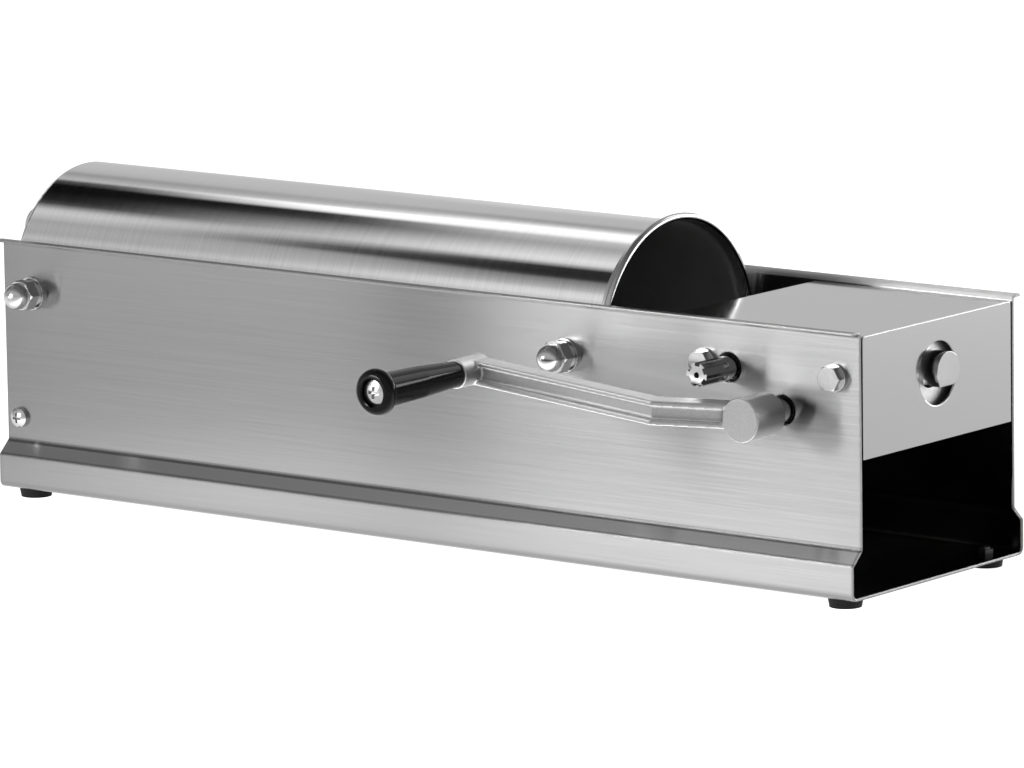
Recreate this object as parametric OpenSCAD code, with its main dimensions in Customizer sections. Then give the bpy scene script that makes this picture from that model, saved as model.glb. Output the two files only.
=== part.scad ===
// Horizontal sausage stuffer: a folded steel channel carries a fixed cylinder
// and a two-speed gearbox that drives a rack and its piston along +X.
// Origin: centre of the footprint on the plane of the feet. +X runs from the
// outlet to the gearbox, -Y is the crank side, +Z is up.

/* [Channel frame] */
// Length of the folded channel
frame_len = 635; // [600:5:680]
// Free width between the two walls
wall_gap = 149; // [149:1:153]
// Thickness of the frame sheet
sheet_t = 1.5; // [1.2:0.1:2]
// Height of the walls, from the underside of the sheet to the lip
wall_h = 148.5; // [140:0.5:156]
// How far the skirts stand out from the walls
skirt_out = 8.7; // [6:0.1:12]
// Height of the upright part of the skirts
skirt_h = 20.4; // [14:0.2:24]
// Height of the sloping joggle above the skirts
joggle_h = 8.3; // [6:0.1:12]
// Inside radius of the lower bends
base_bend_r = 3; // [1.5:0.5:5]
// Inside radius of the bend under the lips
lip_bend_r = 2; // [1.5:0.1:4]
// Width of the flat part of the lips
lip_flat = 4.5; // [2:0.5:6]
// Diameter of the rubber feet
foot_d = 20.5; // [16:0.5:26]
// Height of the rubber feet
foot_h = 6; // [4:0.5:10]

/* [Cylinder] */
// Bore of the cylinder
tube_bore = 136; // [130:1:136]
// Wall of the cylinder
tube_t = 1.2; // [1:0.1:1.5]
// Free length between the cylinder's mouth and the gearbox cover
mouth_gap = 44.8; // [42:0.2:60]
// Height of the cylinder axis above the underside of the sheet
axis_h = 120; // [116:0.5:126]
// How far the rolled rim stands out from the tube
rim_out = 4.8; // [3.4:0.1:5.2]
// Outside radius of the rounded front edge
end_round_r = 4; // [2:0.5:4]
// Thickness of the closed front end
end_t = 2; // [1.5:0.1:3]
// Bore of the outlet neck
neck_bore = 38; // [30:1:44]
// Outside diameter of the outlet neck
neck_d = 44; // [40:1:50]
// Length of the outlet neck
neck_len = 18; // [14:1:30]

/* [Outlet nut] */
// Outside diameter of the ring nut
nut_d = 62; // [56:1:70]
// Opening in the lip of the ring nut
nut_mouth_d = 40; // [39:0.5:43]
// Span over the two wings
wing_span = 96; // [80:2:120]
// Width of each wing
wing_w = 24; // [16:1:30]
// Thickness of each wing
wing_t = 8; // [5:0.5:12]

/* [Rack and piston] */
// Diameter of the rack bar
rack_d = 22; // [20:0.5:24]
// How far the drawn-back piston stands clear of the mouth
piston_clear = 3.5; // [1:0.5:8]
// Module of the rack and its pinion
rack_module = 2; // [2:0.05:2]
// Teeth on the rack pinion
pinion_teeth = 10; // [10:1:12]
// Thickness of the piston plate
piston_t = 16; // [12:1:18]
// Radial gap between the piston plate and the bore
piston_gap = 0.6; // [0.4:0.1:1]
// Diameter of the flange that holds the piston
flange_d = 60; // [50:1:70]
// Thickness of the flange that holds the piston
flange_t = 6; // [4:0.5:8]

/* [Gearbox] */
// Module of the two-speed gears
gear_module = 1.5; // [1.5:0.05:1.5]
// Teeth on the small gear
small_teeth = 16; // [15:1:18]
// Teeth on the large gear
large_teeth = 41; // [38:1:42]
// Face width of the two-speed gears
gear_w = 12; // [8:1:14]
// Diameter of the crank shafts
shaft_d = 14; // [12:0.5:16]
// Distance of the lower shaft from the rear end of the frame
shaft_inset = 53; // [50.5:0.5:55.5]
// Slope of the line from the lower to the upper shaft
shaft_slope = 29.1; // [26:0.1:32]
// Length of the sheet cover
cover_len = 136.4; // [134:0.2:138]
// Height of the sheet cover
cover_h = 69.8; // [64:0.2:72]
// Thickness of the cover sheet
cover_t = 1.2; // [1:0.1:1.5]
// Diameter of the rack window in the cover
window_d = 37; // [30:0.5:42]
// Thickness of the cheeks
cheek_t = 8; // [6:0.5:10]
// Thickness of the two guide bars
bar_t = 12; // [8:1:12]

/* [Crank] */
// Distance from the shaft to the grip
crank_r = 174.5; // [150:0.5:200]
// Angle of the crank above the horizontal
crank_rise = 5; // [0:0.5:20]
// Diameter of the crank hub
hub_d = 25; // [24:0.5:28]
// Length of the crank hub
hub_len = 26.5; // [25:0.5:30]
// Height of the arm section
arm_h = 14; // [12:0.5:16]
// Width of the arm section
arm_w = 13; // [11:0.5:15]
// Depth of the pockets along both sides of the arm
arm_pocket = 3.2; // [2:0.1:4]
// Slope of the first part of the arm
arm_slope = 38; // [35:1:42]
// Diameter of the boss that holds the grip
grip_boss_d = 17; // [16:0.5:20]
// Length of the grip
grip_len = 74; // [70:1:90]
// Diameter of the grip at the arm
grip_d_in = 15; // [14:0.5:17]
// Diameter of the grip before its flange
grip_d_out = 20; // [18:0.5:22]
// Diameter of the flange at the end of the grip
grip_flange_d = 27; // [25:0.5:30]

/* [Hidden] */
$fn = 96;

// Shared clearances and cuts
overrun = 1;
run_gap = 0.05;
seat_gap = 0.3;

// Frame
wall_in_y = wall_gap / 2;
wall_y = wall_in_y + sheet_t;
skirt_y = wall_y + skirt_out;
floor_z = foot_h + sheet_t;
joggle_z = foot_h + skirt_h;
wall_z = joggle_z + joggle_h;
lip_z = foot_h + wall_h;
base_bend_out = base_bend_r + sheet_t;
joggle_mitre = sheet_t * tan(atan2(skirt_out, joggle_h) / 2);
foot_inset_x = 15.5;
foot_inset_y = 15.2;
foot_x = frame_len / 2 - foot_inset_x;
foot_y = skirt_y - foot_inset_y;
foot_taper = 1;
front_x = -frame_len / 2;
rear_x = frame_len / 2;
shaft_x = rear_x - shaft_inset;

// Cylinder
axis_z = foot_h + axis_h;
tube_r = tube_bore / 2;
tube_out_r = tube_r + tube_t;
tube_x0 = front_x;
tube_x1 = rear_x - cover_len - mouth_gap;
tube_len = tube_x1 - tube_x0;
rim_r = tube_out_r + rim_out;
flare_len = 9;
rim_bead_r = 2.2;
rim_in_r = rim_r - 2 * rim_bead_r;
end_in_x = tube_x0 + end_t;
neck_x = tube_x0 - neck_len;
trunnion_inset = 22.2;
trunnion_x = tube_x0 + trunnion_inset;
trunnion_pad_d = 26;
strap_inset = 25.3;
strap_x = tube_x1 - strap_inset;
strap_w = 30;
strap_t = 2;
strap_rise = 12;

// Fasteners: across flats, head heights and washers of standard sizes
m10_r = 5;
m10_af = 17;
m10_hex_h = 8;
m10_nut_h = 18;
m10_dome_r = 7.9;
m10_washer_d = 20;
m10_washer_t = 2;
m10_spring_d = 16.4;
m10_spring_t = 2.2;
m10_spring_slot = 1.6;
m8_r = 4;
m8_af = 13;
m8_head_h = 5.3;
m8_washer_d = 16;
m8_washer_t = 1.6;
m6_r = 3;
m6_head_d = 12;
m6_head_h = 4.6;
m6_nut_af = 10;
m6_nut_h = 5;
m5_r = 2.5;
m5_head_d = 9;
m5_head_h = 3;
m5_nut_af = 8;
m5_nut_h = 2.7;
hole_gap = 0.5;
dome_hex_share = 0.63;
bolt_hex_share = 0.8;
round_head_share = 0.5;

// Rack and pinion
pressure_angle = 25;
backlash = 0.12;
rack_addendum_share = 0.9;
rack_dedendum_share = 1.2;
pinion_r = rack_module * pinion_teeth / 2;
rack_tip_drop = 8.8;
rack_pitch_drop = rack_tip_drop - rack_addendum_share * rack_module;
rack_root_drop = rack_pitch_drop - rack_dedendum_share * rack_module;
rack_pitch = PI * rack_module;
rack_r = rack_d / 2;
rack_tail = 7.4;
rack_x1 = rear_x + rack_tail;
rack_bevel_x = 1.5;
rack_bevel_z = 2.8;
piston_x = end_in_x + seat_gap;
piston_back_x = piston_x + piston_t;
rack_travel = tube_x1 + piston_clear - piston_x;
flange_back_x = piston_back_x + flange_t;
rack_margin = 12;
rack_flat_x = shaft_x - rack_travel - rack_margin;
pinion_w = 20;

// Gearbox
shaft_r = shaft_d / 2;
lower_z = axis_z - rack_pitch_drop - pinion_r;
gear_gap = gear_module * (small_teeth + large_teeth) / 2;
upper_x = shaft_x - gear_gap * cos(shaft_slope);
upper_z = lower_z + gear_gap * sin(shaft_slope);
cover_side_gap = 1.8;
cover_y = wall_in_y - cover_side_gap;
cover_rise = 0.5;
cover_top_z = lip_z + cover_rise;
cover_low_z = cover_top_z - cover_h;
cover_x0 = rear_x - cover_len;
cover_round = 1.8;
window_drop = 2;
cheek_y = cover_y - cover_t;
cheek_in_y = cheek_y - cheek_t;
cheek_inset = 5.4;
cheek_setback = 9;
cheek_x0 = cover_x0 + cheek_setback;
cheek_x1 = rear_x - cheek_inset;
cheek_low_gap = 5;
cheek_low_z = cover_low_z + cheek_low_gap;
cheek_top_gap = 4;
cheek_top_z = cover_top_z - cover_t - cheek_top_gap;
bar_drop = 25;
bar_rise = 21;
bar_low_z = axis_z - bar_drop;
bar_top_z = axis_z + bar_rise;
plate_y0 = 24;
plate_t = 6;
plate_y1 = plate_y0 - plate_t;
plate_slot = 2;
plate_top_gap = 2;
plate_top_z = bar_top_z - plate_top_gap;
bush_d = 18;
bush_flange_d = 22;
bush_flange_t = 1.5;
bush_recess = 2;
gear_y = 38;
gear_hub_d = 26;
gear_hub_len = 8;
key_w = 4;
key_h = 3;
key_sink = 1.5;
ring_t = 1.1;
ring_d = 20;
ring_groove = 0.5;
shaft_tip_y = 106.5;
shaft_far_len = 6;
shaft_far_y = cheek_in_y + shaft_far_len;
shaft_tip_hole_d = 3.5;
shaft_tip_hole_len = 8;
flute_n = 6;
flute_w = 3.5;
flute_depth = 2;
flute_end_y = 86;
shaft_hole_d = 17.6;
bolt_rear_inset = 17;
bolt_rear_drop = 23.5;
bolt_front_reach = 17.2;
bolt_front_drop = 23;
bolt_rear_x = rear_x - bolt_rear_inset;
bolt_rear_z = lip_z - bolt_rear_drop;
bolt_front_x = upper_x - bolt_front_reach;
bolt_front_z = lip_z - bolt_front_drop;

// Front tie bar
tie_t = 1.5;
tie_inset = 2;
tie_x0 = front_x + tie_inset;
tie_len = 24;
tie_web_h = 42;
tie_side_h = 52;
tie_lift = 8;
tie_screw_inset = 10.1;
tie_screw_rise = 42.7;
tie_screw_x = front_x + tie_screw_inset;
tie_screw_z = foot_h + tie_screw_rise;

// Crank
hub_y = 90.5;
hub_face_y = hub_y + hub_len;
hub_bore_len = 20;
hub_bore_gap = 0.1;
hub_rib_gap = 0.2;
arm_y = 135;
arm_kink_r = 46;
arm_flange_t = 3.2;
boss_back = 7;
boss_front = 18;
boss_y0 = arm_y - boss_back;
boss_y1 = arm_y + boss_front;
grip_y0 = boss_y1 + seat_gap;
grip_y1 = grip_y0 + grip_len;
grip_flange_len = 9;
grip_recess_d = 16.5;
grip_recess_len = 4.5;
grip_screw_head_d = 15;
grip_screw_head_h = 3;

// Involute gear outline: points of one flank pair, repeated round the circle
function inv_roll(base_r, r) = sqrt(max(0, r * r / (base_r * base_r) - 1));
function inv_angle(base_r, r) = inv_roll(base_r, r) * 180 / PI - atan(inv_roll(base_r, r));
function tooth_half(m, n, r) =
    (PI * m / 2 - backlash) / (m * n) * 180 / PI
    + inv_angle(m * n / 2 * cos(pressure_angle), m * n / 2)
    - inv_angle(m * n / 2 * cos(pressure_angle), max(r, m * n / 2 * cos(pressure_angle)));
function gear_root(m, n) = m * n / 2 - 1.25 * m;
function flank_radii(m, n, steps) =
    let (low = max(gear_root(m, n), m * n / 2 * cos(pressure_angle)), high = m * n / 2 + m)
    [for (i = [0 : steps]) low + (high - low) * i / steps];
function tooth_points(m, n, steps, turn) =
    let (radii = flank_radii(m, n, steps), root = gear_root(m, n))
    concat(
        [root * [cos(turn - tooth_half(m, n, root)), sin(turn - tooth_half(m, n, root))]],
        [for (r = radii) r * [cos(turn - tooth_half(m, n, r)), sin(turn - tooth_half(m, n, r))]],
        [for (i = [len(radii) - 1 : -1 : 0])
            radii[i] * [cos(turn + tooth_half(m, n, radii[i])), sin(turn + tooth_half(m, n, radii[i]))]],
        [root * [cos(turn + tooth_half(m, n, root)), sin(turn + tooth_half(m, n, root))]]);
function gear_outline(m, n, steps, turn) =
    [for (i = [0 : n - 1]) each tooth_points(m, n, steps, turn + 360 * i / n)];

// Drawing helpers
module along_x(x0, x1) {
    translate([x0, 0, 0]) rotate([90, 0, 90]) linear_extrude(x1 - x0) children();
}

// Extrudes an outline drawn in x and z from y0 down to y1
module along_y(y0, y1) {
    translate([0, y0, 0]) rotate([90, 0, 0]) linear_extrude(y0 - y1) children();
}

module rod_x(x0, x1, r) {
    translate([x0, 0, 0]) rotate([0, 90, 0]) cylinder(h = x1 - x0, r = r);
}

module rod_y(y0, y1, r) {
    translate([0, y0, 0]) rotate([90, 0, 0]) cylinder(h = y0 - y1, r = r);
}

module hex_y(y0, y1, across) {
    translate([0, y0, 0]) rotate([90, 0, 0])
        cylinder(h = y0 - y1, d = across / cos(30), $fn = 6);
}

module bend(r, t, from, to) {
    reach = 2 * (r + t);
    intersection() {
        difference() {
            circle(r + t);
            circle(r);
        }
        polygon(concat([[0, 0]],
            [for (i = [0 : 4]) reach * [cos(from + (to - from) * i / 4), sin(from + (to - from) * i / 4)]]));
    }
}

module both_sides() {
    children();
    mirror([0, 1, 0]) children();
}

module at_feet() {
    for (x = [-foot_x, foot_x], y = [-foot_y, foot_y]) translate([x, y, 0]) children();
}

module at_cylinder_studs() {
    both_sides() for (x = [trunnion_x, strap_x]) translate([x, 0, axis_z]) children();
}

module at_gearbox_bolts() {
    both_sides() {
        translate([bolt_front_x, 0, bolt_front_z]) children();
        translate([bolt_rear_x, 0, bolt_rear_z]) children();
    }
}

// Channel frame
module channel_half() {
    translate([-overrun, foot_h]) square([skirt_y - base_bend_out + overrun, sheet_t]);
    translate([skirt_y - base_bend_out, foot_h + base_bend_out]) bend(base_bend_r, sheet_t, -90, 0);
    polygon([
        [skirt_y, foot_h + base_bend_out], [skirt_y, joggle_z], [wall_y, wall_z], [wall_y, lip_z],
        [wall_in_y, lip_z], [wall_in_y, wall_z - joggle_mitre],
        [skirt_y - sheet_t, joggle_z - joggle_mitre], [skirt_y - sheet_t, foot_h + base_bend_out]]);
    translate([wall_y + lip_bend_r, lip_z]) {
        bend(lip_bend_r, sheet_t, 90, 180);
        translate([0, lip_bend_r]) square([lip_flat, sheet_t]);
    }
}

module frame_channel() {
    color("lightsteelblue")
    difference() {
        along_x(front_x, rear_x) {
            channel_half();
            mirror([1, 0]) channel_half();
        }
        at_cylinder_studs() rod_y(-wall_in_y + overrun, -wall_y - overrun, m10_r + hole_gap);
        at_gearbox_bolts() rod_y(-wall_in_y + overrun, -wall_y - overrun, m8_r + hole_gap);
        both_sides() translate([tie_screw_x, 0, tie_screw_z])
            rod_y(-wall_in_y + overrun, -wall_y - overrun, m6_r + hole_gap);
        translate([shaft_x, 0, lower_z]) rod_y(-wall_in_y + overrun, -wall_y - overrun, shaft_hole_d / 2);
        translate([upper_x, 0, upper_z]) rod_y(-wall_in_y + overrun, -wall_y - overrun, shaft_hole_d / 2);
        at_feet() translate([0, 0, foot_h - overrun]) cylinder(h = sheet_t + 2 * overrun, r = m5_r + run_gap);
    }
}

module front_tie_bar() {
    color("silver")
    difference() {
        union() {
            translate([tie_x0, -wall_in_y, floor_z]) cube([tie_t, 2 * wall_in_y, tie_web_h]);
            both_sides() translate([tie_x0, -wall_in_y, floor_z + tie_lift])
                cube([tie_len, tie_t, tie_side_h - tie_lift]);
        }
        both_sides() translate([tie_screw_x, 0, tie_screw_z])
            rod_y(-wall_in_y + tie_t + overrun, -wall_in_y - overrun, m6_r + hole_gap);
    }
}

module cross_recess(size, depth) {
    for (a = [0, 90]) rotate([0, a, 0])
        translate([-size / 2, -depth, -size / 8]) cube([size, depth + overrun, size / 4]);
}

// Domed screw head on the wall at seat_y, pointing to -Y
module round_head(seat_y, d, h) {
    sag = round_head_share * h;
    ball_r = (d * d / 4 + sag * sag) / (2 * sag);
    translate([0, seat_y, 0]) rotate([90, 0, 0]) rotate_extrude() intersection() {
        square([d / 2, h]);
        translate([0, h - ball_r]) circle(ball_r);
    }
}

module tie_bar_screws() {
    color("gainsboro")
    both_sides() translate([tie_screw_x, 0, tie_screw_z]) difference() {
        union() {
            round_head(-wall_y, m6_head_d, m6_head_h);
            rod_y(-wall_in_y + tie_t + m6_nut_h + overrun, -wall_y - overrun / 2, m6_r);
        }
        translate([0, -wall_y - m6_head_h, 0]) mirror([0, 1, 0]) cross_recess(m6_head_d / 2, m6_head_h / 2);
    }
}

module tie_bar_nuts() {
    color("gainsboro")
    both_sides() translate([tie_screw_x, 0, tie_screw_z]) difference() {
        hex_y(-wall_in_y + tie_t + m6_nut_h, -wall_in_y + tie_t, m6_nut_af);
        rod_y(-wall_in_y + tie_t + m6_nut_h + overrun, -wall_in_y + tie_t - overrun, m6_r + run_gap);
    }
}

module rubber_feet() {
    color("black")
    at_feet() difference() {
        cylinder(h = foot_h, d1 = foot_d - 2 * foot_taper, d2 = foot_d);
        translate([0, 0, -overrun]) cylinder(h = m5_head_h + 2 * overrun, d = m5_head_d + 2 * seat_gap);
        translate([0, 0, -overrun]) cylinder(h = foot_h + 2 * overrun, r = m5_r + run_gap);
    }
}

module foot_screws() {
    color("gainsboro")
    at_feet() {
        translate([0, 0, overrun]) cylinder(h = m5_head_h, d = m5_head_d);
        translate([0, 0, overrun]) cylinder(h = floor_z + m5_nut_h, r = m5_r);
    }
}

module foot_nuts() {
    color("gainsboro")
    at_feet() translate([0, 0, floor_z]) difference() {
        cylinder(h = m5_nut_h, d = m5_nut_af / cos(30), $fn = 6);
        translate([0, 0, -overrun]) cylinder(h = m5_nut_h + 2 * overrun, r = m5_r + run_gap);
    }
}

// Cylinder and its supports
module tube_profile() {
    difference() {
        union() {
            translate([0, tube_x0]) square([tube_out_r - end_round_r, end_t]);
            translate([0, tube_x0 + end_round_r]) square([tube_out_r, tube_len - end_round_r - flare_len]);
            translate([tube_out_r - end_round_r, tube_x0 + end_round_r]) circle(end_round_r);
            polygon([[tube_r, tube_x1 - flare_len], [tube_out_r, tube_x1 - flare_len],
                [rim_in_r + tube_t, tube_x1 - rim_bead_r], [rim_in_r, tube_x1 - rim_bead_r]]);
            translate([rim_r - rim_bead_r, tube_x1 - rim_bead_r]) circle(rim_bead_r);
        }
        translate([0, end_in_x]) square([tube_r, tube_len]);
    }
}

module cylinder_body() {
    color("gainsboro")
    translate([0, 0, axis_z]) difference() {
        union() {
            rotate([0, 90, 0]) rotate_extrude() tube_profile();
            rod_x(neck_x, tube_x0 + end_t / 2, neck_d / 2);
            both_sides() translate([trunnion_x, 0, 0]) difference() {
                rod_y(-tube_r - tube_t / 4, -wall_in_y, trunnion_pad_d / 2);
                rod_x(-trunnion_pad_d, trunnion_pad_d, tube_r + tube_t / 2);
            }
        }
        rod_x(neck_x - overrun, end_in_x + overrun, neck_bore / 2);
        both_sides() translate([trunnion_x, 0, 0]) rod_y(-tube_out_r, -wall_in_y - overrun, m10_r + run_gap);
    }
}

module trunnion_studs() {
    color("gainsboro")
    both_sides() translate([trunnion_x, 0, axis_z]) rod_y(-tube_out_r - run_gap, -stud_end_y, m10_r);
}

module saddle_strap() {
    strap_r = tube_out_r + seat_gap;
    color("silver")
    difference() {
        union() {
            along_x(strap_x - strap_w / 2, strap_x + strap_w / 2) difference() {
                translate([0, axis_z]) circle(strap_r + strap_t);
                translate([0, axis_z]) circle(strap_r);
                translate([-wall_y, axis_z]) square([2 * wall_y, 2 * wall_y]);
            }
            both_sides() translate([strap_x - strap_w / 2, -wall_in_y, axis_z - strap_rise])
                cube([strap_w, wall_in_y - strap_r, 2 * strap_rise]);
        }
        translate([0, 0, axis_z]) rod_x(strap_x - strap_w, strap_x + strap_w, strap_r);
        both_sides() translate([strap_x, 0, axis_z])
            rod_y(-strap_r + overrun, -wall_in_y - overrun, m10_r + run_gap);
    }
}

module strap_studs() {
    color("gainsboro")
    both_sides() translate([strap_x, 0, axis_z]) rod_y(-tube_out_r - seat_gap, -stud_end_y, m10_r);
}

nut_seat_y = wall_y + m10_washer_t + m10_spring_t;
stud_end_y = nut_seat_y + m10_nut_h - m10_dome_r;

module flat_washers() {
    color("gainsboro")
    at_cylinder_studs() difference() {
        rod_y(-wall_y, -wall_y - m10_washer_t, m10_washer_d / 2);
        rod_y(-wall_y + overrun, -wall_y - m10_washer_t - overrun, m10_r + run_gap);
    }
}

module spring_washers() {
    color("silver")
    at_cylinder_studs() difference() {
        rod_y(-wall_y - m10_washer_t, -nut_seat_y, m10_spring_d / 2);
        rod_y(-wall_y, -nut_seat_y - overrun, m10_r + run_gap);
        rotate([0, 60, 0]) translate([0, -nut_seat_y - overrun, -m10_spring_slot / 2])
            cube([m10_spring_d, m10_spring_t + 2 * overrun, m10_spring_slot]);
    }
}

module dome_nuts() {
    color("gainsboro")
    at_cylinder_studs() difference() {
        union() {
            intersection() {
                hex_y(-nut_seat_y, -nut_seat_y - m10_hex_h, m10_af);
                translate([0, -nut_seat_y - m10_hex_h / 4, 0]) sphere(r = dome_hex_share * m10_af);
            }
            rod_y(-nut_seat_y - m10_hex_h + overrun, -stud_end_y, m10_dome_r);
            translate([0, -stud_end_y, 0]) sphere(r = m10_dome_r);
        }
        rod_y(-nut_seat_y + overrun, -stud_end_y - overrun / 2, m10_r + run_gap);
    }
}

// Outlet
nut_lip_t = 2.5;
gasket_t = 1.5;
nut_end_gap = 3.5;
nut_back = neck_len + gasket_t - nut_end_gap;
nut_x1 = neck_x - gasket_t;
nut_x0 = nut_x1 - nut_lip_t;
wing_turn = 123;

module outlet_gasket() {
    color("white")
    translate([0, 0, axis_z]) difference() {
        rod_x(neck_x - gasket_t, neck_x, neck_d / 2);
        rod_x(neck_x - gasket_t - overrun, neck_x + overrun, nut_mouth_d / 2);
    }
}

module outlet_nut() {
    grip_n = 12;
    grip_w = 5;
    wing_neck = 0.8 * wing_w;
    color("silver")
    translate([0, 0, axis_z]) difference() {
        union() {
            rod_x(nut_x0, nut_x1 + nut_back, nut_d / 2);
            along_x(nut_x0, nut_x0 + wing_t) rotate(wing_turn) {
                hull() for (s = [-1, 1]) translate([s * (wing_span - wing_w) / 2, 0]) circle(d = wing_w, $fn = 32);
            }
        }
        rod_x(nut_x1, nut_x1 + nut_back + overrun, neck_d / 2 + 2 * run_gap);
        rod_x(nut_x0 - overrun, nut_x1 + overrun, nut_mouth_d / 2);
        for (i = [0 : grip_n - 1]) rotate([360 / grip_n * i, 0, 0]) translate([0, 0, nut_d / 2 + grip_w / 3])
            rod_x(nut_x0 + wing_t + overrun, nut_x1 + nut_back + overrun, grip_w / 2);
    }
}

// Gearbox
module cover_block(shrink, stretch) {
    half_y = cover_y - shrink;
    top_z = cover_top_z - shrink;
    back_x = rear_x - shrink;
    r = max(cover_round - shrink, cover_round / 3);
    intersection() {
        along_x(cover_x0 - stretch, back_x) hull() for (s = [-1, 1]) {
            translate([s * (half_y - r), top_z - r]) circle(r, $fn = 32);
            translate([s * half_y - (s + 1) / 2 * r, cover_low_z - stretch]) square([r, r]);
        }
        translate([cover_x0 - stretch, -half_y, cover_low_z - stretch])
            cube([back_x - cover_x0 + stretch, 2 * half_y, top_z - cover_low_z + stretch]);
    }
}

module gearbox_cover() {
    color("lightgray")
    difference() {
        cover_block(0, 0);
        cover_block(cover_t, overrun);
        at_gearbox_bolts() rod_y(-cover_y + cover_t + overrun, -cover_y - overrun, m8_r + hole_gap);
        for (p = [[shaft_x, lower_z], [upper_x, upper_z]]) translate([p[0], 0, p[1]])
            rod_y(-cover_y + cover_t + overrun, -cover_y - overrun, shaft_hole_d / 2);
        translate([0, 0, axis_z - window_drop]) rod_x(rear_x - cover_t - overrun, rear_x + overrun, window_d / 2);
    }
}

module cover_spacers() {
    color("gainsboro")
    at_gearbox_bolts() difference() {
        rod_y(-cover_y, -wall_in_y, m8_washer_d / 2);
        rod_y(-cover_y + overrun, -wall_in_y - overrun, m8_r + run_gap);
    }
}

module gearbox_washers() {
    color("gainsboro")
    at_gearbox_bolts() difference() {
        rod_y(-wall_y, -wall_y - m8_washer_t, m8_washer_d / 2);
        rod_y(-wall_y + overrun, -wall_y - m8_washer_t - overrun, m8_r + run_gap);
    }
}

module gearbox_bolts() {
    head_y = wall_y + m8_washer_t;
    color("gainsboro")
    at_gearbox_bolts() {
        intersection() {
            hex_y(-head_y, -head_y - m8_head_h, m8_af);
            translate([0, -head_y + m8_head_h / 2, 0]) sphere(r = bolt_hex_share * m8_af);
        }
        rod_y(-cheek_in_y - overrun, -head_y - overrun / 2, m8_r);
    }
}

module cheek_blank() {
    translate([cheek_x0, -cheek_y, cheek_low_z])
        cube([cheek_x1 - cheek_x0, cheek_t, cheek_top_z - cheek_low_z]);
}

module at_cheek_screws() {
    screw_inset = 5;
    for (x = [cheek_x0 + bar_t / 2, cheek_x1 - bar_t / 2], z = [bar_low_z + screw_inset, bar_top_z - screw_inset])
        translate([x, 0, z]) children();
}

module cheek_holes() {
    for (p = [[bolt_front_x, bolt_front_z], [bolt_rear_x, bolt_rear_z]]) translate([p[0], 0, p[1]])
        rod_y(-cheek_in_y + overrun, -cheek_y - overrun, m8_r + run_gap);
    at_cheek_screws() {
        rod_y(-cheek_in_y + overrun, -cheek_y - overrun, m5_r + run_gap);
        translate([0, -cheek_y, 0]) rotate([-90, 0, 0])
            cylinder(h = m5_r + run_gap, r1 = 2 * m5_r + run_gap, r2 = m5_r + run_gap);
    }
    translate([shaft_x, 0, lower_z]) rod_y(-cheek_in_y + overrun, -cheek_y - overrun, bush_d / 2 + run_gap);
}

module near_cheek() {
    color("darkgray")
    difference() {
        cheek_blank();
        cheek_holes();
        translate([upper_x, 0, upper_z]) rod_y(-cheek_in_y + overrun, -cheek_y - overrun, bush_d / 2 + run_gap);
    }
}

module far_cheek() {
    color("darkgray")
    mirror([0, 1, 0]) difference() {
        cheek_blank();
        cheek_holes();
    }
}

module cheek_screws() {
    screw_in = 20;
    color("gainsboro")
    both_sides() at_cheek_screws() {
        rod_y(-cheek_y + screw_in, -cheek_y + m5_r / 2, m5_r);
        translate([0, -cheek_y, 0]) rotate([-90, 0, 0]) cylinder(h = m5_r, r1 = 2 * m5_r, r2 = m5_r);
    }
}

module guide_bar(x0, slot_x) {
    screw_in = 21;
    difference() {
        translate([x0, -cheek_in_y, bar_low_z]) cube([bar_t, 2 * cheek_in_y, bar_top_z - bar_low_z]);
        translate([0, 0, axis_z]) rod_x(x0 - overrun, x0 + bar_t + overrun, rack_r + run_gap);
        translate([slot_x, -plate_y0, bar_low_z - overrun])
            cube([plate_slot + overrun, plate_t, bar_top_z - bar_low_z + 2 * overrun]);
        both_sides() at_cheek_screws() rod_y(-cheek_y + screw_in, -cheek_in_y - overrun, m5_r + run_gap);
    }
}

module front_guide_bar() {
    color("slategray") guide_bar(cheek_x0, cheek_x0 + bar_t - plate_slot);
}

module rear_guide_bar() {
    color("slategray") guide_bar(cheek_x1 - bar_t, cheek_x1 - bar_t - overrun);
}

module bearing_plate() {
    plate_x0 = cheek_x0 + bar_t - plate_slot;
    plate_x1 = cheek_x1 - bar_t + plate_slot;
    color("lightslategray")
    difference() {
        translate([plate_x0, -plate_y0, cheek_low_z]) cube([plate_x1 - plate_x0, plate_t, plate_top_z - cheek_low_z]);
        for (p = [[shaft_x, lower_z], [upper_x, upper_z]]) translate([p[0], 0, p[1]])
            rod_y(-plate_y1 + overrun, -plate_y0 - overrun, bush_d / 2 + run_gap);
    }
}

// Flanged bush in a wall whose outer face lies at outer_y, flange on the gear side
module bush(y_in, y_out, flange_from, flange_to) {
    difference() {
        union() {
            rod_y(y_in, y_out, bush_d / 2);
            rod_y(flange_from, flange_to, bush_flange_d / 2);
        }
        rod_y(max(y_in, flange_from) + overrun, min(y_out, flange_to) - overrun, shaft_r + run_gap);
    }
}

module shaft_bushes() {
    color("goldenrod") {
        for (p = [[shaft_x, lower_z], [upper_x, upper_z]]) translate([p[0], 0, p[1]]) {
            bush(-cheek_in_y, -cheek_y + bush_recess, -cheek_in_y + bush_flange_t, -cheek_in_y);
            bush(-plate_y1, -plate_y0, -plate_y0, -plate_y0 - bush_flange_t);
        }
        translate([shaft_x, 0, lower_z]) mirror([0, 1, 0])
            bush(-cheek_in_y, -cheek_y + bush_recess, -cheek_in_y + bush_flange_t, -cheek_in_y);
    }
}

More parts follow.
